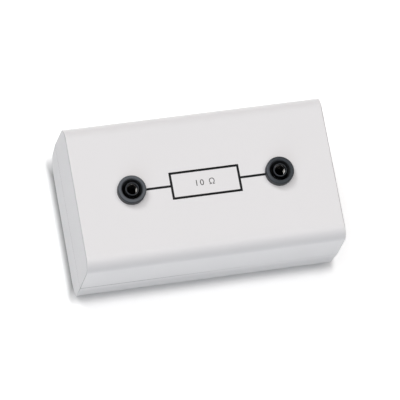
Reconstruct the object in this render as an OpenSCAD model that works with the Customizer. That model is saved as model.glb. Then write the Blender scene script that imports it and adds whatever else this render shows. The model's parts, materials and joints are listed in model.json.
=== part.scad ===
// Precision resistor in a two-part moulded case with two 4 mm safety sockets.
// Millimetres. The origin is the centre of the underside, X runs along the case, Z is up.
// The left socket is at -X and the long front wall faces -Y.

/* [Case] */
// Length of the case at the seam
case_len = 105; // [88:0.5:140]
// Width of the case at the seam
case_wid = 60.3; // [50:0.1:80]
// Height of the lid above the seam
lid_h = 23.6; // [19:0.2:34]
// Height of the base below the seam
base_h = 20.4; // [17:0.2:30]
// Radius of the lid's long upper edges
lid_round = 5.5; // [3.5:0.1:7]
// Radius of the base's long lower edges
base_round = 9; // [5:0.1:9.5]
// Radius of the edge where the lid's top meets its end walls
lid_end_round = 0.7; // [0.4:0.05:1.2]
// Radius of the edge where the base's floor meets its end walls
base_end_round = 1.2; // [0.4:0.05:1.5]
// Chamfer on the upright corners of both shells
corner_chamfer = 0.3; // [0.1:0.05:0.5]
// How far each long wall of the lid leans in
lid_side_draft = 0.5; // [0.2:0.05:1.2]
// How far each end wall of the lid leans in
lid_end_draft = 0.5; // [0.2:0.05:1.2]
// How far each long wall of the base leans in
base_side_draft = 0.6; // [0.2:0.05:1.2]
// How far each end wall of the base leans in
base_end_draft = 0.45; // [0.2:0.05:1.2]
// Thickness of the walls of both shells
wall = 2.3; // [2:0.1:3]
// Thickness of the lid's top
top_t = 2.5; // [2:0.1:3.5]
// Thickness of the base's floor
floor_t = 2.5; // [2:0.1:3.5]

/* [Joint of lid and base] */
// Open gap of the seam on the outside
seam_gap = 0.15; // [0.05:0.05:0.3]
// Thickness of the base's tongue
tongue_t = 1; // [0.8:0.05:1.2]
// Height of the tongue above the seam
tongue_h = 1.8; // [1:0.1:3]
// Clearance between the tongue and the lid's wall
tongue_clear = 0.1; // [0.05:0.05:0.2]

/* [Case screws] */
// Distance of the screws from the end of the case
screw_inset_x = 8; // [7.6:0.1:12]
// Distance of the screws from the side of the case
screw_inset_y = 12.8; // [12:0.1:14]
// Diameter of the screws
screw_d = 3; // [2.5:0.1:3.5]
// Length of the screw under its head
screw_len = 16; // [14:0.5:20]
// How far the screw bites into the lid
screw_bite = 7.6; // [5:0.2:9]
// Diameter of the screw's head
screw_head_d = 5.6; // [5:0.1:6]
// Height of the screw's head
screw_head_h = 2; // [1.6:0.1:2.4]
// Width of the cross recess in the head
cross_w = 0.8; // [0.6:0.05:1]
// Depth of the cross recess
cross_deep = 1.2; // [0.8:0.1:1.4]
// Clearance round the screw's head in its well
well_clear = 0.3; // [0.2:0.05:0.5]
// Clearance round the screw in the base
screw_clear = 0.2; // [0.1:0.05:0.3]
// How much smaller the lid's pilot hole is than the screw
pilot_bite = 0.5; // [0.3:0.05:0.7]
// Clearance of the thread's root in the pilot hole, on the radius
root_clear = 0.03; // [0.02:0.01:0.05]
// Height of the pillar's wide part above the head
web_t = 2.5; // [2:0.1:3]
// Wall of the base's pillar round the well
pillar_wall = 1.3; // [1:0.1:1.6]
// Diameter of the lid's boss
boss_d = 7; // [6:0.1:8]
// Thickness of the gussets that hold bosses and pillars
gusset_t = 1.4; // [1:0.1:2]

/* [Socket body] */
// Distance between the two sockets
socket_pitch = 59.5; // [50:0.5:64]
// Diameter of the flange on the lid
flange_d = 11.3; // [10.6:0.1:12]
// Height of the flange above the lid
flange_h = 3; // [2:0.1:4]
// Radius of the flange's outer edge
flange_round = 0.6; // [0.3:0.1:1.2]
// Diameter of the barrel through the lid
barrel_d = 9.5; // [9.3:0.05:9.8]
// Diameter of the opening for a sheathed plug
shroud_d = 8.1; // [8:0.05:8.3]
// Depth of that opening from the flange's face
shroud_deep = 24; // [20:0.5:28]
// Thickness of the barrel's floor
barrel_floor = 2; // [1.5:0.1:3]
// Chamfer round the opening
mouth_chamfer = 0.3; // [0.1:0.05:0.4]
// Width of the key that stops the body turning
key_w = 1.6; // [1:0.1:2]
// Clearance of the barrel in the lid's hole, on the radius
barrel_clear = 0.05; // [0.03:0.01:0.15]

/* [Contact] */
// Diameter of the contact's bore
contact_bore = 4; // [3.9:0.05:4.15]
// Outside diameter of the contact sleeve
contact_d = 5.2; // [5.1:0.05:5.6]
// How far the insulating tip lies below the flange's face
tip_recess = 0; // [0:0.1:1.5]
// Height of the insulating tip above the sleeve
tip_h = 0.7; // [0.5:0.1:1.5]
// Height of the tip's skirt round the sleeve's neck
skirt_h = 2.3; // [1:0.1:3]
// Diameter of the sleeve's neck inside the skirt
neck_d = 4.6; // [4.5:0.02:4.7]
// Clearance of the tip round the neck, on the radius
tip_clear = 0.02; // [0.01:0.01:0.05]
// How far the tip's opening flares at its lip, on the radius
tip_flare = 0.08; // [0.04:0.02:0.12]
// Width of the chamfer in the sleeve's mouth
lead_in = 0.2; // [0.1:0.05:0.2]
// Diameter of the collar at the sleeve's foot
foot_d = 7; // [6.4:0.1:7.6]
// Height of that collar
foot_h = 1; // [0.6:0.1:1.5]
// Diameter of the threaded tail, drawn at the middle of its thread
tail_d = 3.5; // [2.6:0.1:3.8]
// Length of tail that shows past the nut
tail_past = 1.2; // [0.6:0.1:2]

/* [Fixings on the contact] */
// Thickness of the solder tag
tag_t = 0.6; // [0.4:0.1:1]
// Diameter of the tag's ring
tag_ring_d = 8.4; // [7:0.1:9]
// Distance from the tag's ring to its eye
tag_reach = 9.5; // [8:0.1:11]
// Diameter of the tag's eye end
tag_eye_d = 3.6; // [3:0.1:4]
// Diameter of the hole in the eye
eye_hole_d = 1.2; // [1:0.1:1.5]
// Thickness of the split lock washer
washer_t = 0.9; // [0.6:0.1:1.2]
// Outside diameter of the lock washer
washer_d = 7.4; // [6.5:0.1:7.6]
// Width of the slit in the lock washer
washer_slit = 0.5; // [0.3:0.1:0.8]
// Width of the hexagon nut across its flats
nut_af = 7; // [5.5:0.5:8]
// Height of the nut
nut_h = 2.4; // [1.8:0.1:3.2]
// Clearance of nut, washer and tag on the tail, on the radius
tail_clear = 0.03; // [0.02:0.01:0.1]

/* [Retaining clip] */
// Outside diameter of the clip
clip_d = 15; // [13:0.2:17]
// Inside diameter of the clip's flat rim
clip_rim_d = 11.4; // [11:0.1:12]
// Thickness of the clip
clip_t = 0.4; // [0.3:0.05:0.6]
// Number of sprung teeth
clip_teeth = 8; // [6:1:10]
// Width of a tooth
tooth_w = 2.2; // [1.5:0.1:2.6]
// How far the teeth slope down from the rim, in degrees
tooth_slope = 22; // [10:1:35]

/* [Resistor] */
// Diameter of the ceramic core
core_d = 6; // [5:0.1:7]
// Length of the ceramic core
core_len = 24; // [20:0.5:28]
// Bore of the ceramic core
core_bore = 2.5; // [1:0.1:3]
// Wall of the end caps
cap_t = 0.4; // [0.3:0.05:0.6]
// Length of core that an end cap covers
cap_grip = 4; // [3:0.1:5]
// Clearance of a cap on the core, on the radius
cap_clear = 0.02; // [0.01:0.01:0.05]
// Diameter of the resistance wire
wire_d = 0.5; // [0.4:0.05:0.6]
// Number of turns wound on the core
wire_turns = 18; // [10:1:18]
// Clearance of the wire on the core
wire_clear = 0.02; // [0.01:0.01:0.05]
// Wall of the coating over the end caps
coat_t = 0.8; // [0.5:0.05:1.2]
// Diameter of the leads
lead_d = 0.8; // [0.6:0.05:1]
// Radius of the bend in each lead
lead_bend = 1.6; // [1.2:0.1:2.5]
// Height of the leads' eyes above the resistor's axis
lead_rise = 4; // [3:0.1:6]
// Length of lead that stands above the tag
lead_past = 1; // [0.5:0.1:2]
// Diameter of the solder fillet on the tag
solder_d = 2.6; // [1.6:0.1:3]
// Height of the solder fillet
solder_h = 0.7; // [0.4:0.1:1]

/* [Hidden] */
$fn = 72;

// Heights that the pieces share
lid_top = base_h + lid_h;
flange_top = lid_top + flange_h;
shroud_floor = flange_top - shroud_deep;
barrel_end = shroud_floor - barrel_floor;
tip_top = flange_top - tip_recess;
sleeve_top = tip_top - tip_h;
tag_z = barrel_end - tag_t;
washer_z = tag_z - washer_t;
nut_z = washer_z - nut_h;
tail_end = nut_z - tail_past;
axis_z = tag_z - lead_rise;
screw_seat = base_h - (screw_len - screw_bite);

// Plan of the sockets and the screws
socket_x = socket_pitch / 2;
screw_x = case_len / 2 - screw_inset_x;
screw_y = case_wid / 2 - screw_inset_y;
eye_x = socket_x - tag_reach;

// Derived sizes
shroud_r = shroud_d / 2;
well_d = screw_head_d + 2 * well_clear;
pillar_d = well_d + 2 * pillar_wall;
pilot_spare = 1.5;
hole_d = barrel_d + 2 * barrel_clear;
cap_d = core_d + 2 * (cap_clear + cap_t);
cap_end = core_len / 2 + cap_t;
coat_end = cap_end + coat_t;
wound_len = core_len - 2 * cap_grip;
far = 200;

// Turns a section drawn in Y and Z so that it extrudes along X
module along_x() {
    rotate([90, 0, 90]) children();
}

// Angle of a leaning wall's outward normal, where it runs into the rounded edge
function wall_normal(draft, height, radius) =
    let (to_centre = [-draft - radius, height - radius])
    atan2(-to_centre[1], -to_centre[0]) + acos(radius / norm(to_centre));

// Section of a shell: the seam lies on z = 0, the flat at z = height and a skirt below the seam
module shell_section(half, draft, height, radius, skirt) {
    phi = wall_normal(draft, height, radius);
    centre = [half - draft - radius, height - radius];
    touch = centre + (radius - 0.0005) * [cos(phi), sin(phi)];
    foot = half + skirt * tan(phi);
    polygon([
        [-foot, -skirt], [foot, -skirt],
        touch, [centre[0], height],
        [-centre[0], height], [-touch[0], touch[1]]
    ]);
    for (side = [-1, 1])
        translate([side * centre[0], centre[1]]) circle(radius);
}

// The section run along the case and cut by two end walls that lean in
module shell_blank(length, half, side_draft, end_draft, height, radius, skirt = 0) {
    lean = end_draft / height;
    low = skirt + 1;
    high = height + 1;
    intersection() {
        along_x()
            translate([0, 0, -length / 2 - 1])
                linear_extrude(length + 2)
                    shell_section(half, side_draft, height, radius, skirt);
        rotate([90, 0, 0])
            translate([0, 0, -far / 2])
                linear_extrude(far)
                    polygon([
                        [-length / 2 - lean * low, -low], [length / 2 + lean * low, -low],
                        [length / 2 - lean * high, high], [-length / 2 + lean * high, high]
                    ]);
    }
}

// What a rounded edge takes away: a corner, less the circle that stays
module corner_waste(round, slack) {
    centre = [slack - round, -round * 0.998];
    difference() {
        translate(centre) square([round + 1, round + 1]);
        translate(centre) circle(round);
    }
}

// The waste along one end wall, in a frame that leans with it; the rounding fades down the sides
module end_wall_waste(length, half, side_draft, end_draft, height, radius, round) {
    lean = atan(end_draft / height);
    slack = round * tan(lean) + 0.003;
    rise = height / cos(lean);
    fade = max(0, 0.93 * round - 1.1 * corner_chamfer);
    flat = half - side_draft - radius + fade;
    translate([length / 2, 0, 0])
        rotate([0, -lean, 0])
            along_x() {
                translate([-flat, rise, 0])
                    along_x() linear_extrude(2 * flat) corner_waste(round, slack);
                for (side = [0, 1])
                    mirror([side, 0, 0])
                        translate([flat, rise - radius, 0])
                            rotate_extrude(angle = 90)
                                translate([radius, 0]) corner_waste(round, slack);
            }
}

// What the chamfer takes off one upright corner, leaning with both walls
module corner_chamfer_waste(length, half, side_draft, end_draft, height) {
    translate([length / 2, half, 0])
        rotate([atan(side_draft / height), -atan(end_draft / height), 0])
            rotate([0, 0, 45])
                translate([-corner_chamfer / sqrt(2), -2, -5])
                    cube([4, 4, height + 5]);
}

// A solid shell form with its end edges rounded and its upright corners chamfered
module shell_form(length, half, side_draft, end_draft, height, radius, round) {
    difference() {
        shell_blank(length, half, side_draft, end_draft, height, radius);
        for (end = [0, 1])
            mirror([end, 0, 0])
                end_wall_waste(length, half, side_draft, end_draft, height, radius, round);
        for (end = [0, 1], side = [0, 1])
            mirror([end, 0, 0])
                mirror([0, side, 0])
                    corner_chamfer_waste(length, half, side_draft, end_draft, height);
    }
}

// Rectangle with round corners, about the origin
module round_rect(x, y, r) {
    square([x - 2 * r, y], center = true);
    square([x, y - 2 * r], center = true);
    for (sx = [-1, 1], sy = [-1, 1])
        translate([sx * (x / 2 - r), sy * (y / 2 - r)]) circle(r);
}

// Puts a child at each of the four case screws, with +X and +Y facing the outer walls
module at_screws() {
    for (sx = [0, 1], sy = [0, 1])
        mirror([sx, 0, 0])
            mirror([0, sy, 0])
                translate([screw_x, screw_y, 0]) children();
}

// Gussets that run from a boss at each screw towards the end wall and the long wall
module gussets(z, height) {
    at_screws()
        for (turn = [0, 90])
            rotate([0, 0, turn])
                translate([0, -gusset_t / 2, z])
                    cube([screw_inset_y, gusset_t, height]);
}

// The key that a socket's barrel carries and the lid's hole takes
module barrel_key(clear) {
    height = top_t + (clear > 0 ? 2 : -0.4);
    reach = flange_d / 2 - 0.2 + clear;
    width = key_w + 2 * clear;
    translate([0, -width / 2, lid_top - height + (clear > 0 ? 1 : 0)])
        cube([reach, width, height]);
}

// Lid: top shell with socket holes, screw bosses and the rebate for the tongue
module lid() {
    half = case_wid / 2;
    rebate_x = case_len - 2 * (wall - tongue_t - tongue_clear);
    rebate_y = case_wid - 2 * (wall - tongue_t - tongue_clear);
    color("whitesmoke")
    difference() {
        union() {
            difference() {
                translate([0, 0, base_h])
                    shell_form(case_len, half, lid_side_draft, lid_end_draft, lid_h, lid_round,
                               lid_end_round);
                translate([0, 0, base_h])
                    shell_blank(case_len - 2 * wall, half - wall, lid_side_draft, lid_end_draft,
                                lid_h - top_t, lid_round - wall, 1);
                translate([0, 0, base_h - 1])
                    linear_extrude(1 + tongue_h) round_rect(rebate_x, rebate_y, 1);
            }
            at_screws()
                translate([0, 0, base_h])
                    cylinder(d = boss_d, h = lid_h - top_t / 2);
            intersection() {
                translate([0, 0, base_h])
                    shell_blank(case_len - wall, half - wall / 2, lid_side_draft, lid_end_draft,
                                lid_h - top_t / 2, lid_round - wall / 2);
                gussets(base_h + tongue_h + 2, lid_h);
            }
        }
        translate([-far / 2, -far / 2, base_h + seam_gap / 2 - 10])
            difference() {
                cube([far, far, 10]);
                translate([far / 2, far / 2, -1])
                    linear_extrude(12) round_rect(rebate_x, rebate_y, 1);
            }
        at_screws()
            translate([0, 0, base_h - 1])
                cylinder(d = screw_d - pilot_bite, h = 1 + screw_bite + pilot_spare);
        for (side = [-1, 1])
            translate([side * socket_x, 0, 0]) {
                translate([0, 0, lid_top - top_t - 1])
                    cylinder(d = hole_d, h = top_t + 2);
                barrel_key(barrel_clear);
            }
    }
}

// Base: bottom shell with its tongue, screw pillars and head wells
module base() {
    half = case_wid / 2;
    tongue_out = 2 * (wall - tongue_t);
    color("whitesmoke")
    difference() {
        union() {
            difference() {
                union() {
                    difference() {
                        translate([0, 0, base_h])
                            mirror([0, 0, 1])
                                shell_form(case_len, half, base_side_draft, base_end_draft,
                                           base_h, base_round, base_end_round);
                        translate([-far / 2, -far / 2, base_h - seam_gap / 2])
                            cube([far, far, 10]);
                    }
                    translate([0, 0, base_h - 1])
                        linear_extrude(1 + tongue_h)
                            round_rect(case_len - tongue_out, case_wid - tongue_out, 1);
                }
                translate([0, 0, base_h])
                    mirror([0, 0, 1])
                        shell_blank(case_len - 2 * wall, half - wall, base_side_draft,
                                    base_end_draft, base_h - floor_t, base_round - wall,
                                    tongue_h + 1);
            }
            at_screws() {
                translate([0, 0, floor_t / 2])
                    cylinder(d = pillar_d, h = screw_seat + web_t - floor_t / 2);
                translate([0, 0, screw_seat])
                    cylinder(d = boss_d, h = base_h - screw_seat);
            }
            intersection() {
                translate([0, 0, base_h])
                    mirror([0, 0, 1])
                        shell_blank(case_len - wall, half - wall / 2, base_side_draft,
                                    base_end_draft, base_h - floor_t / 2, base_round - wall / 2);
                gussets(floor_t / 2, screw_seat - floor_t / 2);
            }
        }
        at_screws() {
            translate([0, 0, -1]) cylinder(d = well_d, h = screw_seat + 1);
            translate([0, 0, screw_seat - 1])
                cylinder(d = screw_d + 2 * screw_clear, h = base_h);
        }
    }
}

// Case screws: four pan-head screws, heads down in their wells
module case_screws() {
    dome = screw_head_d * 0.8;
    root_d = screw_d - pilot_bite - 2 * root_clear;
    color("silver")
    at_screws()
        translate([0, 0, screw_seat]) {
            difference() {
                rotate([180, 0, 0])
                    intersection() {
                        cylinder(d = screw_head_d, h = screw_head_h);
                        translate([0, 0, screw_head_h - dome]) sphere(dome);
                    }
                translate([0, 0, -screw_head_h - 1 + cross_deep / 2])
                    for (turn = [0, 90])
                        rotate([0, 0, turn])
                            cube([screw_head_d * 0.55, cross_w, 2 + cross_deep], center = true);
            }
            cylinder(d = root_d, h = screw_len - 1);
            translate([0, 0, screw_len - 1])
                cylinder(d1 = root_d, d2 = root_d / 2, h = 1);
        }
}

// Socket body: flange, keyed barrel and deep shroud, turned about its own axis
module socket_body(side) {
    r = flange_d / 2;
    barrel_r = barrel_d / 2;
    edge = 0.4;
    color("#2b2b2e")
    translate([side * socket_x, 0, 0]) {
        difference() {
            union() {
                rotate_extrude() {
                    polygon([
                        [0, barrel_end], [barrel_r - edge, barrel_end],
                        [barrel_r, barrel_end + edge], [barrel_r, lid_top],
                        [r, lid_top], [r, flange_top - flange_round],
                        [r - flange_round, flange_top], [0, flange_top]
                    ]);
                    translate([r - flange_round, flange_top - flange_round]) circle(flange_round);
                }
                barrel_key(0);
            }
            rotate_extrude()
                polygon([
                    [0, shroud_floor], [shroud_r, shroud_floor],
                    [shroud_r, flange_top - mouth_chamfer],
                    [shroud_r + mouth_chamfer, flange_top],
                    [shroud_r + mouth_chamfer, flange_top + 1], [0, flange_top + 1]
                ]);
            translate([0, 0, barrel_end - 1])
                cylinder(d = tail_d + 2 * tail_clear, h = barrel_floor + 2);
        }
    }
}

// Contact tip: insulating ring on the sleeve's neck
module contact_tip(side) {
    r = contact_d / 2;
    skirt_r = neck_d / 2 + tip_clear;
    ease = 0.08;
    color("#1c1c1e")
    translate([side * socket_x, 0, 0])
        rotate_extrude()
            polygon([
                [skirt_r, sleeve_top - skirt_h], [r, sleeve_top - skirt_h], [r, tip_top - ease],
                [r - ease, tip_top], [skirt_r + tip_flare, tip_top],
                [skirt_r, tip_top - 3 * tip_flare]
            ]);
}

// Contact sleeve: turned sleeve with a blind bore, a foot collar and a threaded tail
module contact_sleeve(side) {
    r = contact_d / 2;
    bore_r = contact_bore / 2;
    foot_top = shroud_floor + foot_h;
    drill_end = bore_r / tan(59);
    color("goldenrod")
    translate([side * socket_x, 0, 0])
        rotate_extrude()
            polygon([
                [0, tail_end], [tail_d / 2 - 0.4, tail_end], [tail_d / 2, tail_end + 0.4],
                [tail_d / 2, shroud_floor], [foot_d / 2, shroud_floor], [foot_d / 2, foot_top],
                [r, foot_top], [r, sleeve_top - skirt_h], [neck_d / 2, sleeve_top - skirt_h],
                [neck_d / 2, sleeve_top], [bore_r + lead_in, sleeve_top],
                [bore_r, sleeve_top - 1.5 * lead_in], [bore_r, foot_top + drill_end], [0, foot_top]
            ]);
}

// Retaining clip: star washer whose sloping teeth grip the barrel under the lid
module retaining_clip(side) {
    ceiling = lid_top - top_t;
    rim_r = clip_rim_d / 2;
    gap = rim_r - barrel_d / 2;
    color("silver")
    translate([side * socket_x, 0, 0]) {
        translate([0, 0, ceiling - clip_t])
            difference() {
                cylinder(d = clip_d, h = clip_t);
                translate([0, 0, -1]) cylinder(r = rim_r, h = clip_t + 2);
            }
        intersection() {
            difference() {
                translate([0, 0, ceiling - 5]) cylinder(r = rim_r + 0.4, h = 5);
                translate([0, 0, ceiling - 6])
                    cylinder(r = barrel_d / 2 + 0.02, h = 7);
            }
            for (i = [0 : clip_teeth - 1])
                rotate([0, 0, (i + 0.5) * 360 / clip_teeth])
                    translate([rim_r + 0.4, 0, ceiling - clip_t])
                        rotate([0, -tooth_slope, 0])
                            translate([-2 * gap - 2, -tooth_w / 2, 0])
                                cube([2 * gap + 2, tooth_w, clip_t * cos(tooth_slope)]);
        }
    }
}

// Solder tag: ring on the tail and an arm that reaches inwards to its eye
module solder_tag(side) {
    color("silver")
    translate([side * socket_x, 0, tag_z])
        mirror([side > 0 ? 1 : 0, 0, 0])
            linear_extrude(tag_t)
                difference() {
                    union() {
                        circle(d = tag_ring_d);
                        translate([tag_reach, 0]) circle(d = tag_eye_d);
                        polygon([
                            [0, -tag_ring_d / 4], [tag_reach, -tag_eye_d / 2 + 0.4],
                            [tag_reach, tag_eye_d / 2 - 0.4], [0, tag_ring_d / 4]
                        ]);
                    }
                    circle(d = tail_d + 2 * tail_clear);
                    translate([tag_reach, 0]) circle(d = eye_hole_d);
                }
}

// Lock washer: split spring ring between tag and nut
module lock_washer(side) {
    color("gray")
    translate([side * socket_x, 0, washer_z])
        linear_extrude(washer_t)
            difference() {
                circle(d = washer_d);
                circle(d = tail_d + 2 * tail_clear);
                rotate(20) translate([0, -washer_slit / 2]) square([washer_d, washer_slit]);
            }
}

// Tag nut: thin hexagon nut, chamfered on its outer face
module tag_nut(side) {
    across = nut_af / cos(30);
    color("silver")
    translate([side * socket_x, 0, nut_z])
        difference() {
            intersection() {
                cylinder(d = across, h = nut_h, $fn = 6);
                union() {
                    cylinder(d1 = nut_af * 0.95, d2 = across + 0.2, h = nut_h / 3);
                    translate([0, 0, nut_h / 3])
                        cylinder(d = across + 0.2, h = nut_h);
                }
            }
            translate([0, 0, -1]) cylinder(d = tail_d + 2 * tail_clear, h = nut_h + 2);
        }
}

// Puts a child on the resistor's axis, with its own Z running along +X
module on_axis() {
    translate([0, 0, axis_z]) rotate([0, 90, 0]) children();
}

// Resistor core: ceramic tube
module resistor_core() {
    color("ivory")
    on_axis()
        difference() {
            cylinder(d = core_d, h = core_len, center = true);
            cylinder(d = core_bore, h = core_len + 2, center = true);
        }
}

// Resistor winding: round wire in one layer, swept round the core from cap to cap
module resistor_winding() {
    sides = 8;
    steps = 28;
    rings = wire_turns * steps;
    mean_r = core_d / 2 + wire_clear + wire_d / 2;
    travel = wound_len - wire_d - 0.1;
    rise = atan(travel / wire_turns / (2 * PI * mean_r));
    function ring(i) =
        let (turn = 360 * i / steps)
        let (z = travel * (i / rings - 0.5))
        [for (k = [0 : sides - 1])
            let (a = 360 * k / sides)
            let (out = wire_d / 2 * cos(a), up = wire_d / 2 * sin(a))
            [(mean_r + out) * cos(turn) + up * sin(rise) * sin(turn),
             (mean_r + out) * sin(turn) - up * sin(rise) * cos(turn),
             z + up * cos(rise)]];
    points = [for (i = [0 : rings]) each ring(i)];
    skin = [for (i = [0 : rings - 1], k = [0 : sides - 1])
        let (a = i * sides + k, b = i * sides + (k + 1) % sides)
        each [[a, a + sides, b], [b, a + sides, b + sides]]];
    start = [[for (k = [0 : sides - 1]) k]];
    finish = [[for (k = [sides - 1 : -1 : 0]) rings * sides + k]];
    color("peru")
    on_axis() polyhedron(points, concat(skin, start, finish));
}

// Resistor coating: cement sleeve that closes over both caps
module resistor_coating() {
    over_cap = cap_d / 2 + cap_clear;
    over_wire = core_d / 2 + wire_clear + wire_d + 0.05;
    inside = max(over_cap, over_wire);
    outside = cap_d / 2 + coat_t;
    soft = 0.7;
    lead_hole = lead_d / 2 + 0.02;
    color("darkseagreen")
    on_axis()
        difference() {
            rotate_extrude() {
                polygon([
                    [0, -coat_end], [outside - soft, -coat_end], [outside, -coat_end + soft],
                    [outside, coat_end - soft], [outside - soft, coat_end], [0, coat_end]
                ]);
                for (end = [-1, 1])
                    translate([outside - soft, end * (coat_end - soft)]) circle(soft);
            }
            cylinder(r = over_cap, h = 2 * cap_end, center = true);
            cylinder(r = inside, h = wound_len, center = true);
            cylinder(r = lead_hole, h = far, center = true);
        }
}

// End cap: pressed cup on the end of the core
module end_cap(side) {
    color("silver")
    on_axis()
        mirror([0, 0, side > 0 ? 0 : 1])
            difference() {
                translate([0, 0, wound_len / 2]) cylinder(d = cap_d, h = cap_end - wound_len / 2);
                translate([0, 0, wound_len / 2 - 1])
                    cylinder(d = core_d + 2 * cap_clear, h = cap_grip + 1);
            }
}

// Lead: welded to the cap, bent up and through the tag's eye
module lead(side) {
    r = lead_d / 2;
    run = eye_x - lead_bend - cap_end;
    color("lightgray")
    mirror([side > 0 ? 0 : 1, 0, 0]) {
        translate([cap_end, 0, axis_z])
            rotate([0, 90, 0]) cylinder(r = r, h = run);
        translate([eye_x - lead_bend, 0, axis_z + lead_bend])
            rotate([90, 0, 0])
                rotate([0, 0, -90])
                    rotate_extrude(angle = 90) translate([lead_bend, 0]) circle(r);
        translate([eye_x, 0, axis_z + lead_bend])
            cylinder(r = r, h = lead_rise - lead_bend + tag_t + lead_past);
    }
}

// Solder joints: one on each tag, through the eye and round the lead
module solder_joints() {
    r = lead_d / 2;
    neck = r + 0.15;
    color("lightgray")
    for (side = [-1, 1])
        translate([side * eye_x, 0, tag_z])
            rotate_extrude()
                polygon([
                    [r, -solder_h], [neck, -solder_h], [solder_d / 2, 0],
                    [eye_hole_d / 2, 0], [eye_hole_d / 2, tag_t],
                    [solder_d / 2, tag_t], [neck, tag_t + solder_h], [r, tag_t + solder_h]
                ]);
}

lid();
base();
case_screws();
socket_body(-1);  // socket_body_left
socket_body(1);  // socket_body_right
contact_tip(-1);  // contact_tip_left
contact_tip(1);  // contact_tip_right
contact_sleeve(-1);  // contact_sleeve_left
contact_sleeve(1);  // contact_sleeve_right
retaining_clip(-1);  // retaining_clip_left
retaining_clip(1);  // retaining_clip_right
solder_tag(-1);  // solder_tag_left
solder_tag(1);  // solder_tag_right
lock_washer(-1);  // lock_washer_left
lock_washer(1);  // lock_washer_right
tag_nut(-1);  // tag_nut_left
tag_nut(1);  // tag_nut_right
resistor_core();
resistor_winding();
resistor_coating();
end_cap(-1);  // end_cap_left
end_cap(1);  // end_cap_right
lead(-1);  // lead_left
lead(1);  // lead_right
solder_joints();
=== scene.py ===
# %% [markdown]
# # A plug-in precision resistor
#
# The object is a white moulded box, a little over 10 cm long, with two black sockets in its lid
# and a wound resistor hung between them inside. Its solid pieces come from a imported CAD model
# and stay exactly where they are. This lesson gives every piece its finish, prints the circuit
# symbol on the lid, cuts the threads that the CAD leaves plain, and lights it all on a pale floor.

# %% Load the frame
import json
import math

import bpy
from mathutils import Matrix, Vector


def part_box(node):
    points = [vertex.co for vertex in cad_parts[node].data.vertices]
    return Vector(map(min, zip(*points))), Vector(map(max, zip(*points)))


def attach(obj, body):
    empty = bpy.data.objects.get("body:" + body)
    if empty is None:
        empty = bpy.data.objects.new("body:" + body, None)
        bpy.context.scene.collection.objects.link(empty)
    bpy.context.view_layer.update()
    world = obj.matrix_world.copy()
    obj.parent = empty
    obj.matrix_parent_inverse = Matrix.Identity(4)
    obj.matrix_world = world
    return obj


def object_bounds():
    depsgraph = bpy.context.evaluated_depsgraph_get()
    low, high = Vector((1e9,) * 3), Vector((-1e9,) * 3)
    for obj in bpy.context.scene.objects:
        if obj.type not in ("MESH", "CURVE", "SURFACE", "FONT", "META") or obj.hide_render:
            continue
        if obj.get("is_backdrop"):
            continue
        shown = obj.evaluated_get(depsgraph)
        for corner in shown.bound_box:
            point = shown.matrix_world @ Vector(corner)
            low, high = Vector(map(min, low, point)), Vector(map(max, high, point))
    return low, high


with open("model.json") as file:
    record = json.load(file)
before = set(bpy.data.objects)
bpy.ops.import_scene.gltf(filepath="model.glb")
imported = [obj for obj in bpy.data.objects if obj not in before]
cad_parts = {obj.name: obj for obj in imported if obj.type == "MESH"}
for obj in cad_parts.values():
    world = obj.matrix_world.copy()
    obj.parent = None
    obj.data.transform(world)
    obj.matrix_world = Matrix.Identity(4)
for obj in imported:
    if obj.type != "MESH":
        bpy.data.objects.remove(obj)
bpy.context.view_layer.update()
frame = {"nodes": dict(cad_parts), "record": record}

MM = 0.001
nodes = frame["nodes"]

# %% [markdown]
# ## The camera
#
# The picture was taken from high above the front left edge with a long lens. A camera is easiest
# to read as a direction from a point on the object: how far round, how far up, how far away,
# and how much the camera leans. The lens follows from the focal length in image widths.

# %% Place the camera
AIM = Vector((-3.46, -7.16, 44.0)) * MM
AROUND = math.radians(-125.71)
ABOVE = math.radians(70.74)
AWAY = 1349.8 * MM
LEAN = math.radians(26.78)
FOCAL_IN_WIDTHS = 8.625



def direction(around, above):
    """The three parts of a direction given by how far round and how far up it points."""
    flat = math.cos(above)
    return flat * math.cos(around), flat * math.sin(around), math.sin(above)


outward = Vector(direction(AROUND, ABOVE))
level = outward.to_track_quat("Z", "Y")
lens = bpy.data.cameras.new("camera")
lens.sensor_fit = "HORIZONTAL"
lens.lens = FOCAL_IN_WIDTHS * lens.sensor_width
lens.clip_start = 0.02
lens.clip_end = 50
camera = bpy.data.objects.new("camera", lens)
camera.matrix_world = (
    Matrix.Translation(AIM + outward * AWAY)
    @ level.to_matrix().to_4x4()
    @ Matrix.Rotation(LEAN, 4, "Z")
)
bpy.context.scene.collection.objects.link(camera)
bpy.context.scene.camera = camera
print("camera at", [round(v, 4) for v in camera.matrix_world.translation], "lens", lens.lens)

# %% [markdown]
# ## Shader sums
#
# A node tree for a simple sum such as `1 - mask * 0.3` takes three nodes and four links, and is
# hard to read. Here a `Term` wraps one socket, and Python's own operators on it add the Math
# nodes. Any other node comes from one method, `Finish.node`, which sets what the node does
# first and then fills its sockets with values or with other terms.

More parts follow.
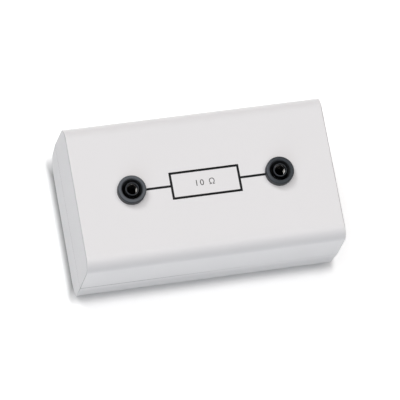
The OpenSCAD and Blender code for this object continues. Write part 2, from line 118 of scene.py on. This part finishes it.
# %% A term and a finish
class Term:
    """One socket of a finish; sums on it add Math nodes."""

    def __init__(self, finish, socket):
        self.finish = finish
        self.socket = socket

    def maths(self, operation, *inputs):
        return self.finish.node("Math", {"operation": operation}, dict(enumerate(inputs)))

    def __add__(self, other):
        return self.maths("ADD", self, other)

    __radd__ = __add__

    def __sub__(self, other):
        return self.maths("SUBTRACT", self, other)

    def __rsub__(self, other):
        return self.maths("SUBTRACT", other, self)

    def __mul__(self, other):
        return self.maths("MULTIPLY", self, other)

    __rmul__ = __mul__

    def __truediv__(self, other):
        return self.maths("DIVIDE", self, other)

    def size(self):
        return self.maths("ABSOLUTE", self)

    def root(self):
        return self.maths("SQRT", self)

    def at_least(self, floor):
        return self.maths("MAXIMUM", self, floor)

    def at_most(self, ceiling):
        return self.maths("MINIMUM", self, ceiling)

    def step(self, low, high):
        """0 below low, 1 above high and a soft rise between them."""
        settings = {"interpolation_type": "SMOOTHSTEP"}
        return self.finish.node("MapRange", settings, {0: self, 1: low, 2: high})


class Finish:
    """A node material that is being put together."""

    def __init__(self, name, tree=None):
        self.material = None if tree else bpy.data.materials.new(name)
        if self.material:
            self.material.use_nodes = True
        self.tree = tree or self.material.node_tree
        self.tree.nodes.clear()

    def node(self, kind, settings=None, inputs=None, output=0):
        node = self.tree.nodes.new("ShaderNode" + kind)
        for name, value in (settings or {}).items():
            setattr(node, name, value)
        for name, value in (inputs or {}).items():
            if isinstance(value, Term):
                self.tree.links.new(value.socket, node.inputs[name])
            else:
                node.inputs[name].default_value = value
        return Term(self, node.outputs[output]) if node.outputs else node

    def place(self):
        """Position on the object, in metres."""
        return self.node("TexCoord", output="Object")

    def axes(self, vector):
        """The three parts of a vector."""
        first = self.node("SeparateXYZ", inputs={0: vector})
        outputs = first.socket.node.outputs
        return tuple(Term(self, socket) for socket in outputs)

    def noise(self, grain, detail=2.0, where=None):
        """Soft noise whose patches are about one grain wide, in metres; it averages 0.5."""
        inputs = {"Vector": where or self.place(), "Scale": 1 / grain, "Detail": detail}
        return self.node("TexNoise", inputs=inputs)

    def blend(self, mask, low, high):
        """Colour that goes from low to high with the mask."""
        inputs = {0: mask, 6: low, 7: high}
        return self.node("Mix", {"data_type": "RGBA"}, inputs, output=2)

    def bump(self, height, depth):
        """Normal of a surface that rises by depth metres where height is 1."""
        return self.node("Bump", inputs={"Height": height, "Distance": depth, "Strength": 1.0})

    def normal_part(self, axis):
        """One part of the surface's own normal: 0 for x, 2 for z."""
        return self.axes(self.node("NewGeometry", output="Normal"))[axis]

    def surface(self, **sockets):
        """Closes the material with one Principled shader; base_color fills Base Color."""
        inputs = {name.replace("_", " ").title(): value for name, value in sockets.items()}
        inputs = {name.replace("Ior", "IOR"): value for name, value in inputs.items()}
        shader = self.node("BsdfPrincipled", inputs=inputs)
        self.node("OutputMaterial", inputs={"Surface": shader})
        return self.material


def grey(level, tint=(1, 1, 1)):
    """A colour near grey, ready for a socket."""
    return (*(level * part for part in tint), 1)


# %% [markdown]
# ## Floor and backdrop
#
# A catalogue picture like this one stands on white paper. The paper is overexposed, so its shadow
# shows only right beside the box. That comes from a glow that only the camera and mirrors see,
# while the paper lights the walls with its real brightness. The camera sees the glow start under
# the overhang of the rounded base. In mirrors it starts further out, because a satin wall seen at
# a flat angle mirrors the floor close by, and there the real paper is in the box's shade. Under
# the left end the paper is also darkened for the camera alone, as the box's contact shadow.

# %% Lay the paper
PAPER = 0.80
GLOW = 0.47
GLOW_RAMP = (0.2 * MM, 6.0 * MM)
MIRROR_LOW = 0.04
MIRROR_HIGH = 0.97
MIRROR_RAMP = (6.1 * MM, 12.2 * MM)
FAR_RAMP = (30 * MM, 50 * MM)
WHITE_RAMP = (0.30, 0.60)
LEFT_RAMP = (0.0, 3.0 * MM)
FOOT_X = 52.5 * MM
FOOT_Y = 27.5 * MM
END_SHARPER = 1.8
END_OFFSET = 0.7 * MM
CONTACT_DARK = 0.30
CONTACT_RAMP = (-1.4 * MM, 2.0 * MM)
CONTACT_ENDS = (-7.0 * MM, 1.5 * MM)
CONTACT_START = (-2.5 * MM, -0.5 * MM)
FIBRE = 0.7 * MM
FIBRE_SHADE = 0.02


def rays(finish, *kinds):
    """1 for the kinds of ray that are named, 0 for the others."""
    total = 0
    for kind in kinds:
        total = finish.node("LightPath", output=f"Is {kind} Ray") + total
    return total.at_most(1)


def paper_finish():
    f = Finish("white paper")
    x, y, _ = f.axes(f.place())
    distance = (x * x + y * y).root()
    past_x = x.size() - FOOT_X
    past_left = -1 * x - FOOT_X
    past_y = y.size() - FOOT_Y
    past_end = (past_x * END_SHARPER - END_OFFSET).at_least(0)
    past_side = past_y.at_least(0)
    outside = (past_end * past_end + past_side * past_side).root()
    shown_glow = outside.step(*GLOW_RAMP) * GLOW
    beside_left = past_left.step(*LEFT_RAMP)
    open_front = past_y.step(*MIRROR_RAMP) * (1 - beside_left)
    open_floor = open_front.at_least(past_x.step(*FAR_RAMP))
    mirrored_glow = open_floor * (MIRROR_HIGH - MIRROR_LOW) + MIRROR_LOW
    fibres = f.noise(FIBRE, detail=3)
    clear = past_left.step(*CONTACT_RAMP).at_least(past_y.step(*CONTACT_ENDS))
    at_end = past_left.step(*CONTACT_START) * rays(f, "Camera", "Transmission")
    contact = (1 - clear) * at_end * (1 - CONTACT_DARK)
    paper = (fibres * FIBRE_SHADE + PAPER - FIBRE_SHADE / 2) * (1 - contact)
    matt = f.node("BsdfDiffuse", inputs={"Color": f.blend(paper, grey(0), grey(1))})
    glow = rays(f, "Camera", "Transmission") * shown_glow + rays(f, "Glossy") * mirrored_glow
    light = f.node("Emission", inputs={"Color": grey(1), "Strength": glow})
    near = f.node("AddShader", inputs={0: matt, 1: light})
    white = f.node("Emission", inputs={"Color": grey(1), "Strength": 1.0})
    far = rays(f, "Camera", "Glossy", "Transmission") * distance.step(*WHITE_RAMP)
    shown = f.node("MixShader", inputs={0: far, 1: near, 2: white})
    f.node("OutputMaterial", inputs={"Surface": shown})
    return f.material


bpy.ops.object.select_all(action="DESELECT")
bpy.ops.mesh.primitive_circle_add(vertices=96, radius=3, fill_type="NGON")
floor = bpy.context.object
floor.name = "paper"
floor.data.materials.append(paper_finish())
floor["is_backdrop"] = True
print("paper", floor.data.name, "glows", GLOW, "beside the box")

# %% [markdown]
# ## The light
#
# A large soft box hangs overhead, brightest in its middle, with a smaller, stronger key lamp
# behind and to the left, a weaker cloth on the left and a weak bluish one low in front. Each is a
# soft-edged disc in the world, so that gloss mirrors it too. The rounded edges mirror the rim of
# the soft box, which ends the bright top crisply, and the sockets' bores mirror the key lamp.
# A white cloth hangs round the table for mirrors alone. They see it from the floor up to about
# 60 degrees, and it is gone at 72. The camera sees plain white all round.

# %% Light the room
WARM = (1.03, 1.0, 0.985)
PLAIN = (0.98, 1.0, 1.01)
COOL = (0.85, 0.965, 1.08)
RIM = 7
KEY_RIM = 3
DISCS = [
    # round, up, half width and soft rim in degrees, strength, tint
    (0, 90, 20, RIM, 0.95, WARM),
    (0, 90, 35, RIM, 1.33, WARM),
    (124, 46, 11, KEY_RIM, 8.3, PLAIN),
    (180, 62, 32, RIM, 0.24, PLAIN),
    (-120, 18, 27, RIM, 1.08, COOL),
]
CLOTH_FADE = (0.86, 0.95)  # height on a sphere of radius 1


def room_light(ahead, r):
    """Colour of all the discs in the direction that a ray looks."""
    total = (0, 0, 0)
    for around, above, half, rim, strength, tint in DISCS:
        towards = direction(math.radians(around), math.radians(above))
        share = sum(part * share for part, share in zip(ahead, towards))
        disc = share.step(math.cos(math.radians(half + rim)), math.cos(math.radians(half - rim)))
        inputs = {0: disc, 1: [strength * part for part in tint], 2: total}
        total = r.node("VectorMath", {"operation": "MULTIPLY_ADD"}, inputs)
    return total


room = bpy.data.worlds.new("room")
bpy.context.scene.world = room
room.use_nodes = True
r = Finish("room", room.node_tree)
ahead = r.axes(r.node("TexCoord", output="Generated"))
light = r.node("Background", inputs={"Color": room_light(ahead, r), "Strength": 1.0})
low_cloth = (1 - ahead[2].step(*CLOTH_FADE)) * rays(r, "Glossy")
cloth = r.node("Background", inputs={"Color": grey(1), "Strength": low_cloth})
lit = r.node("AddShader", inputs={0: light, 1: cloth})
white = r.node("Background", inputs={"Color": grey(1), "Strength": 1.0})
shown = r.node("MixShader", inputs={0: rays(r, "Camera", "Transmission"), 1: lit, 2: white})
r.node("OutputWorld", inputs={"Surface": shown})
bpy.context.scene.view_settings.view_transform = "Standard"
print(len(DISCS), "soft discs light the room")

# %% [markdown]
# ## Moulded white plastic
#
# Both shells are thermoplastic from a tool with a fine spark-eroded grain, so they are satin and
# not glossy. The grain is far finer than a pixel of the main picture, and shows only close up.
# Along the narrow end edges the colour carries painted shade, darker at the left end than at the
# right, and hands leave a faint, broad unevenness. The seam between the shells holds a dark line
# of painted shade, with some dust, that fades to the right, and just below it the base carries
# painted light, a paler strip that fades downward.

# %% White plastic for the shells
WHITE = (0.775, 0.762, 0.768)
EDGE_SHADE_LEFT = 0.70
EDGE_SHADE_RIGHT = 0.86
SEAM_Z = 20.4 * MM
SEAM_HALF = 0.36 * MM
SEAM_LONG = 0.60
SEAM_END = 0.07
SEAM_FADE = (-30 * MM, 22 * MM)
# Painted light: the base is paler in a strip just below the seam.
PALE_LIP = (0.835, 0.822, 0.828)
LIP_START = 0.2 * MM
LIP_RAMP = (0.4 * MM, 7.0 * MM)
EDGE_FROM = (0.25, 0.55)
EDGE_UNTIL = (0.90, 0.985)
END_WALL = (0.3, 0.8)
CLOUD_SHADE = 0.02
CLOUD_ROUGH = 0.08


def white_plastic(name):
    f = Finish(name)
    x, _, z = f.axes(f.place())
    x_normal = f.normal_part(0).size()
    end_wall = x_normal.step(*END_WALL)
    # Painted shade along the rounded end edges, darker at the left end than at the right.
    narrow_edge = x_normal.step(*EDGE_FROM) * (1 - x_normal.step(*EDGE_UNTIL))
    right_half = x.step(-1 * MM, 1 * MM)
    edge_shade = right_half * (EDGE_SHADE_RIGHT - EDGE_SHADE_LEFT) + EDGE_SHADE_LEFT
    cloud = f.noise(0.021, detail=3)
    painted_light = narrow_edge * (1 - edge_shade)
    # Painted shade in the seam, with some dust: dark on the long walls, fading to the right, faint
    # on the ends.
    seam = 1 - (z - SEAM_Z).size().step(SEAM_HALF * 0.6, SEAM_HALF)
    along = (1 - x.step(*SEAM_FADE)) * SEAM_LONG
    seam_dark = (SEAM_END - along) * end_wall + along
    level = (1 - painted_light - (cloud - 0.5) * CLOUD_SHADE) * (1 - seam * seam_dark)
    # Painted light: a paler strip of the base just below the seam, fading downward, on the long
    # walls only.
    below = SEAM_Z - z
    lip = below.step(0, LIP_START) * (1 - below.step(*LIP_RAMP)) * (1 - end_wall)
    white = f.blend(lip, (*WHITE, 1), (*PALE_LIP, 1))
    colour = f.blend(level, grey(0), white)
    grain = f.noise(0.00042, detail=2)
    return f.surface(
        base_color=colour,
        roughness=0.32 + (cloud - 0.5) * CLOUD_ROUGH,
        normal=f.bump(grain, 0.000012),
        ior=1.52,
    )


# %% [markdown]
# ## Black plastics
#
# The socket bodies are black glass-filled polyamide: satin, and grey where light rakes over it.
# Their top faces carry a painted sheen, stronger on the left, and inside the shrouds they are
# paler. The contact tips are of a glossier black, with a painted highlight in patches on their
# lips.

# %% Black plastics for the sockets
BLACK = 0.010
TINT = (0.95, 1, 1.08)
SHEEN_TINT = (0.86, 0.97, 1.10)
# Painted sheen on the flanges' top faces, stronger on the left.
FACE_SHEEN = 6.2
SHEEN_FROM = 28 * MM
SHEEN_TO = 22 * MM
FACE_RAMP = (0.55, 0.95)
SHROUD_PALE = 4.0
SHROUD_WALL = (4.05 * MM, 4.2 * MM)
# Painted highlight on the contact tips' lips, laid in patches.
LIP_HIGHLIGHT = 0.06
LIP_DEPTHS = (0.12 * MM, 0.04 * MM)
LIP_PATCH = 1.5 * MM
TIP_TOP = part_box("contact_tip_left")[1].z
sleeve_low, sleeve_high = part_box("contact_sleeve_right")
socket_x = (sleeve_low.x + sleeve_high.x) / 2


def off_axis(f):
    """Place from the axis of the nearer socket, and the height."""
    x, y, z = f.axes(f.place())
    return x - x.maths("SIGN", x) * socket_x, y, z


def black_plastic(name, level, rough, painted_light):
    """Satin black with glass fibres in it; the last argument is a function that paints a sheen and
    highlights onto the colour level.
    """
    f = Finish(name)
    fibres = f.noise(0.0005, detail=3)
    shade = (f.noise(0.004) * 0.3 + 0.85) * level
    shade = painted_light(f, shade)
    return f.surface(
        base_color=f.blend(shade, grey(0), grey(1, TINT)),
        roughness=rough + (fibres - 0.5) * 0.12,
        normal=f.bump(fibres, 0.00001),
        ior=1.42,
        specular_tint=grey(1, SHEEN_TINT),
    )


def flange_sheen(f, shade):
    """Painted sheen on the top faces, stronger on the left; inside the shroud the colour is paler.
    """
    x, y, _ = off_axis(f)
    face = f.normal_part(2).step(*FACE_RAMP)
    leftness = 1 - f.axes(f.place())[0].step(SHEEN_TO, SHEEN_FROM)
    inside = 1 - (x * x + y * y).root().step(*SHROUD_WALL)
    return shade * (1 + face * leftness * FACE_SHEEN) + shade * inside * SHROUD_PALE


def lip_highlight(f, shade):
    """A painted highlight in patches on the very top of a contact tip."""
    z = f.axes(f.place())[2]
    top = z.step(*(TIP_TOP - depth for depth in LIP_DEPTHS))
    lip = top * f.noise(LIP_PATCH).step(0.2, 0.6)
    return shade + lip * LIP_HIGHLIGHT


# %% [markdown]
# ## Metals
#
# Turned, pressed and drawn parts differ mostly in the marks that their making leaves: rings
# round a turned sleeve, fine parallel lines on pressed steel, soft ripples in solder.

# %% Metals for the inner parts
BORE_WALL = (2.12 * MM, 2.17 * MM)
DULL = 0.85
RING_PITCH = 0.16 * MM
RING_SLOPE = 2.0
SCORED_AT = math.radians(-25)
SCORED_EDGE = math.cos(math.radians(42))
SCORED_SOFT = 0.08
SCORED_START = 0.6 * MM
SCORED_ROUGH = 0.22
SCORED_FROM = sleeve_high.z - 4.2 * MM
TARNISH = 0.42
TARNISH_FROM = sleeve_high.z - 6 * MM


def metal(name, colour, rough, grain, depth, stretch=(1, 1, 1)):
    """A metal with patches one grain wide, stretched along an axis for drawn or brushed marks."""
    f = Finish(name)
    where = f.node("Mapping", {"vector_type": "TEXTURE"}, {"Vector": f.place(), "Scale": stretch})
    marks = f.noise(grain, detail=3, where=where)
    cloud = f.noise(0.003)
    return f.surface(
        base_color=f.blend(cloud, (*(part * DULL for part in colour), 1), (*colour, 1)),
        metallic=1.0,
        roughness=rough + (marks - 0.5) * 0.16,
        normal=f.bump(marks, depth),
    )


def turned_sleeve(name, colour, rough):
    """Plated brass turned on a lathe; where plugs enter, their springs have scored fine rings."""
    f = Finish(name)
    x, y, z = off_axis(f)
    radius = (x * x + y * y).root()
    toward = (x * math.cos(SCORED_AT) + y * math.sin(SCORED_AT)) / radius
    past_bore = radius.step(*BORE_WALL)
    facing = toward.step(SCORED_EDGE - SCORED_SOFT, SCORED_EDGE + SCORED_SOFT)
    scored = facing * z.step(SCORED_FROM, SCORED_FROM + SCORED_START) * (1 - past_bore)
    angle = z * (2 * math.pi / RING_PITCH)
    slope = angle.maths("SINE", angle) * scored * RING_SLOPE
    normal = f.node("NewGeometry", output="Normal")
    inputs = {0: slope, 1: (0, 0, 1), 2: normal}
    tipped = f.node("VectorMath", {"operation": "MULTIPLY_ADD"}, inputs)
    cloud = f.noise(0.003)
    rubbed = z.step(TARNISH_FROM, SCORED_FROM).at_least(past_bore)
    clean = (cloud * 0.15 + 0.85) * (rubbed * (1 - TARNISH) + TARNISH)
    return f.surface(
        base_color=f.blend(clean, grey(0), (*colour, 1)),
        metallic=1.0,
        roughness=scored * SCORED_ROUGH + rough + (cloud - 0.5) * 0.1,
        normal=f.node("VectorMath", {"operation": "NORMALIZE"}, {0: tipped}),
    )


def matt_body(name, dark, pale, rough, grain, depth):
    """A matt mineral or cement body with two tones and shallow pits."""
    f = Finish(name)
    cloud = f.noise(grain * 6, detail=4)
    pits = f.noise(grain, detail=3)
    return f.surface(
        base_color=f.blend(cloud, (*dark, 1), (*pale, 1)),
        roughness=rough + (pits - 0.5) * 0.1,
        normal=f.bump(pits, depth),
    )


# %% Give every CAD node its finish
CERAMIC_TONES = ((0.80, 0.76, 0.68), (0.86, 0.83, 0.76))
CEMENT_TONES = ((0.28, 0.42, 0.34), (0.36, 0.5, 0.42))
FINISHES = {
    "white_plastic": white_plastic("moulded white plastic"),
    "black_plastic": black_plastic("black polyamide", BLACK, 0.44, flange_sheen),
    "tip_plastic": black_plastic("black tip plastic", BLACK, 0.30, lip_highlight),
    "plated_brass": turned_sleeve("plated turned brass", (0.90, 0.88, 0.85), 0.22),
    "tinned_brass": metal("tinned brass", (0.74, 0.74, 0.72), 0.38, 0.0009, 6e-6),
    "spring_steel": metal("spring steel", (0.5, 0.5, 0.52), 0.34, 0.0003, 4e-6, (8, 0.5, 1)),
    "screw_steel": metal("zinc plated steel", (0.62, 0.62, 0.63), 0.30, 0.0006, 5e-6),
    "ceramic": matt_body("unglazed ceramic", *CERAMIC_TONES, 0.8, 0.0003, 1e-5),
    "resistance_wire": metal("resistance wire", (0.6, 0.45, 0.36), 0.34, 0.0003, 3e-6),
    "coating": matt_body("green cement", *CEMENT_TONES, 0.85, 0.0004, 3e-5),
    "solder": metal("bright solder", (0.76, 0.76, 0.77), 0.22, 0.0008, 2e-5),
}
for row in frame["record"]["subparts"]:
    piece = nodes[row["node"]]
    piece.data.materials.clear()
    piece.data.materials.append(FINISHES[row["material_slot"]])
print(len(nodes), "CAD nodes have", len(FINISHES), "finishes")

# %% [markdown]
# ## The printed symbol
#
# The lid carries the circuit symbol of a resistor, a box on a line that runs from socket to
# socket, with a value inside. Pad printing lays down a film of ink of a few hundredths of a
# millimetre. A texture could paint it, but a real, thin piece stays sharp at any distance, so
# each stroke is a mesh that lies on the lid.

# %% Ink
INK = 0.010
INK_TINT = (0.92, 1, 1.1)


def ink_finish():
    f = Finish("printing ink")
    cover = f.noise(0.0006, detail=3)
    return f.surface(
        base_color=f.blend(cover, grey(INK * 0.8, INK_TINT), grey(INK * 1.25, INK_TINT)),
        roughness=0.5 + (cover - 0.5) * 0.15,
        normal=f.bump(cover, 4e-6),
        ior=1.2,
    )


ink = ink_finish()
FILM = 0.03 * MM
lid_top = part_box("lid")[1].z
body_low, body_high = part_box("socket_body_right")
flange_r = (body_high.x - body_low.x) / 2


def settle(piece):
    """Puts a finished piece's place into its mesh, then names its body."""
    bpy.ops.object.select_all(action="DESELECT")
    piece.select_set(True)
    bpy.context.view_layer.objects.active = piece
    bpy.ops.object.transform_apply(location=True, rotation=True, scale=True)
    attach(piece, "root")
    count = sum(len(face.vertices) - 2 for face in piece.data.polygons)
    print(piece.name, count, "triangles")


def apply_modifier(piece, kind, **settings):
    """Adds one modifier, sets it and applies it."""
    modifier = piece.modifiers.new(kind.lower(), kind)
    for name, value in settings.items():
        setattr(modifier, name, value)
    bpy.context.view_layer.objects.active = piece
    bpy.ops.object.modifier_apply(modifier=modifier.name)


def flat_stroke(name, centre_x, centre_y, length, width):
    """A bare rectangle on the lid, to be shaped further."""
    bpy.ops.object.select_all(action="DESELECT")
    bpy.ops.mesh.primitive_plane_add(size=1, location=(centre_x, centre_y, lid_top))
    stroke = bpy.context.object
    stroke.name = name
    stroke.data.name = name
    stroke.scale = (length, width, 1)
    bpy.ops.object.transform_apply(location=False, rotation=False, scale=True)
    stroke.data.materials.clear()
    stroke.data.materials.append(ink)
    return stroke


# %% Outline of the symbol
SYMBOL_LONG = 28.2 * MM
SYMBOL_WIDE = 11.18 * MM
SYMBOL_X = 0.07 * MM
SYMBOL_Y = -0.13 * MM
STROKE = 0.93 * MM
CORNER = 0.12 * MM

outline = flat_stroke("symbol_outline", SYMBOL_X, SYMBOL_Y, SYMBOL_LONG, SYMBOL_WIDE)
bpy.ops.object.mode_set(mode="EDIT")
bpy.ops.mesh.select_all(action="SELECT")
bpy.ops.mesh.bevel(offset=CORNER, segments=3, affect="VERTICES")
bpy.ops.mesh.select_all(action="SELECT")
bpy.ops.mesh.inset(thickness=STROKE)
bpy.ops.mesh.delete(type="FACE")
bpy.ops.object.mode_set(mode="OBJECT")
apply_modifier(outline, "SOLIDIFY", thickness=FILM, offset=1)
settle(outline)

# %% Lines from the symbol to the sockets
LEAD_Y = -0.12 * MM
for side, name in ((-1, "symbol_line_left"), (1, "symbol_line_right")):
    start = SYMBOL_X + side * SYMBOL_LONG / 2
    end = side * (socket_x - flange_r)
    line = flat_stroke(name, (start + end) / 2, LEAD_Y, abs(end - start), STROKE)
    apply_modifier(line, "SOLIDIFY", thickness=FILM, offset=1)
    settle(line)

# %% Value inside the symbol
VALUE = "10 Ω"
VALUE_TALL = 2.5 * MM
CAP_SHARE = 0.73
THINNER = 0.01 * MM

bpy.ops.object.select_all(action="DESELECT")
bpy.ops.object.text_add(location=(0, 0, 0))
value = bpy.context.object
value.name = "symbol_value"
value.data.body = VALUE
value.data.size = VALUE_TALL / CAP_SHARE
value.data.space_character = 1.25
value.data.align_x = "CENTER"
value.data.align_y = "CENTER"
value.data.offset = -THINNER
value.data.resolution_u = 6
value.data.extrude = FILM / 2
bpy.ops.object.convert(target="MESH")
value = bpy.context.object
value.data.name = "symbol_value"
corners = [Vector(corner) for corner in value.bound_box]
middle = sum(corners, Vector()) / len(corners)
value.data.transform(Matrix.Translation(Vector((0, 0, lid_top + FILM / 2)) - middle))
value.data.materials.clear()
value.data.materials.append(ink)
settle(value)

# %% [markdown]
# ## Guides in the contact tips
#
# Between the insulating tip and the bore sits a small black funnel that leads the plug's pin into
# the sleeve, so no metal shows round the mouth. It is turned: a ring is extruded along its
# section, from the foot over the lip and down the funnel, and closed underneath.

# %% A ring turned from a section
def turned_ring(name, centre_x, section, material):
    """Extrudes a circle along a closed section of (radius, height) points in millimetres."""
    bpy.ops.object.select_all(action="DESELECT")
    radius, height = section[0]
    spot = (centre_x, 0, height * MM)
    bpy.ops.mesh.primitive_circle_add(vertices=96, radius=radius * MM, location=spot)
    ring = bpy.context.object
    ring.name = name
    ring.data.name = name
    bpy.ops.object.mode_set(mode="EDIT")
    bpy.ops.mesh.select_all(action="SELECT")
    for next_radius, next_height in section[1:] + section[:1]:
        rise = (0, 0, (next_height - height) * MM)
        bpy.ops.mesh.extrude_edges_move(TRANSFORM_OT_translate={"value": rise})
        scale = next_radius / radius
        bpy.ops.transform.resize(value=(scale, scale, 1), center_override=(centre_x, 0, 0))
        radius, height = next_radius, next_height
    bpy.ops.mesh.select_all(action="SELECT")
    bpy.ops.mesh.remove_doubles(threshold=1e-6)
    bpy.ops.mesh.normals_make_consistent(inside=False)
    bpy.ops.object.mode_set(mode="OBJECT")
    bpy.ops.object.shade_smooth_by_angle(angle=math.radians(30))
    ring.data.materials.append(material)
    return ring


# %% Set a guide in each tip
# Radius and height in millimetres: up the outside, over the lip, down the funnel and back.
GUIDE = [(2.31, 46.31), (2.31, 46.90), (2.30, 46.92), (2.02, 46.36), (2.01, 46.13), (2.19, 46.31)]
for side, name in ((-1, "tip_guide_left"), (1, "tip_guide_right")):
    guide = turned_ring(name, side * socket_x, GUIDE, FINISHES["tip_plastic"])
    settle(guide)

# %% [markdown]
# ## Threads
#
# The CAD draws the case screws and the sleeves' tails as plain cores. A thread is a ridge that
# climbs round its core: a triangle is set beside the axis and the Screw modifier sweeps it up a
# right-handed helix. The case screws have a coarse thread for plastic, the tails a fine one.

# %% A ridge that climbs round a core
RIDGE_SHARE = 0.36
STEPS_A_TURN = 32


def thread(name, axis, low, high, core, crest, pitch, slot):
    """Sweeps a triangle from low to high round an upright axis at (x, y)."""
    tall = RIDGE_SHARE * pitch / math.cos(math.radians(30))
    deep = (crest - core) / 1.5  # a triangle is 1.5 times as deep as its circle's radius
    bpy.ops.object.select_all(action="DESELECT")
    upright = (math.pi / 2, math.pi / 2, 0)
    spot = (core + deep / 2, 0, low)
    bpy.ops.mesh.primitive_circle_add(vertices=3, radius=1, location=spot, rotation=upright)
    ridge = bpy.context.object
    ridge.name = name
    ridge.data.name = name
    bpy.ops.object.transform_apply(location=False, rotation=True, scale=False)
    ridge.scale = (deep, 1, tall)
    bpy.ops.object.transform_apply(location=True, rotation=False, scale=True)
    turns = int((high - low) / pitch)
    steps = {"steps": STEPS_A_TURN, "render_steps": STEPS_A_TURN}
    apply_modifier(ridge, "SCREW", screw_offset=pitch, iterations=turns, **steps)
    bpy.ops.object.mode_set(mode="EDIT")
    bpy.ops.mesh.select_all(action="SELECT")
    bpy.ops.mesh.fill_holes(sides=3)
    bpy.ops.mesh.select_all(action="SELECT")
    bpy.ops.mesh.normals_make_consistent(inside=False)
    bpy.ops.object.mode_set(mode="OBJECT")
    ridge.location = (*axis, 0)
    ridge.data.materials.append(FINISHES[slot])
    settle(ridge)


# %% Thread the case screws
HEAD_R = 2.8 * MM
SCREW_CORE = 1.19 * MM
SCREW_CREST = 1.5 * MM
SCREW_PITCH = 1.1 * MM
PAST_HEAD = 5.4 * MM
BARE_POINT = 1.3 * MM
screws_low, screws_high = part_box("case_screws")
for end, x in (("left", screws_low.x + HEAD_R), ("right", screws_high.x - HEAD_R)):
    for wall, y in (("front", screws_low.y + HEAD_R), ("back", screws_high.y - HEAD_R)):
        low, high = screws_low.z + PAST_HEAD, screws_high.z - BARE_POINT
        name = f"screw_thread_{wall}_{end}"
        thread(name, (x, y), low, high, SCREW_CORE, SCREW_CREST, SCREW_PITCH, "screw_steel")

# %% Thread the tails of the sleeves
TAIL_CORE = 1.72 * MM
TAIL_CREST = 1.96 * MM
TAIL_PITCH = 0.5 * MM
BARE_END = 0.45 * MM
INTO_NUT = 0.55 * MM
low = sleeve_low.z + BARE_END
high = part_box("tag_nut_left")[0].z + INTO_NUT
for side, name in ((-1, "tail_thread_left"), (1, "tail_thread_right")):
    axis = (side * socket_x, 0)
    thread(name, axis, low, high, TAIL_CORE, TAIL_CREST, TAIL_PITCH, "plated_brass")

# %% [markdown]
# ## Size of the visual pieces
#
# The box round everything that renders, with the paper left out, is printed in millimetres.
# The looks may not grow past the CAD model.

# %% Print the visual box
low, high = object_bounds()
print("visual box in mm:", [round(v / MM, 2) for v in (*low, *high)])
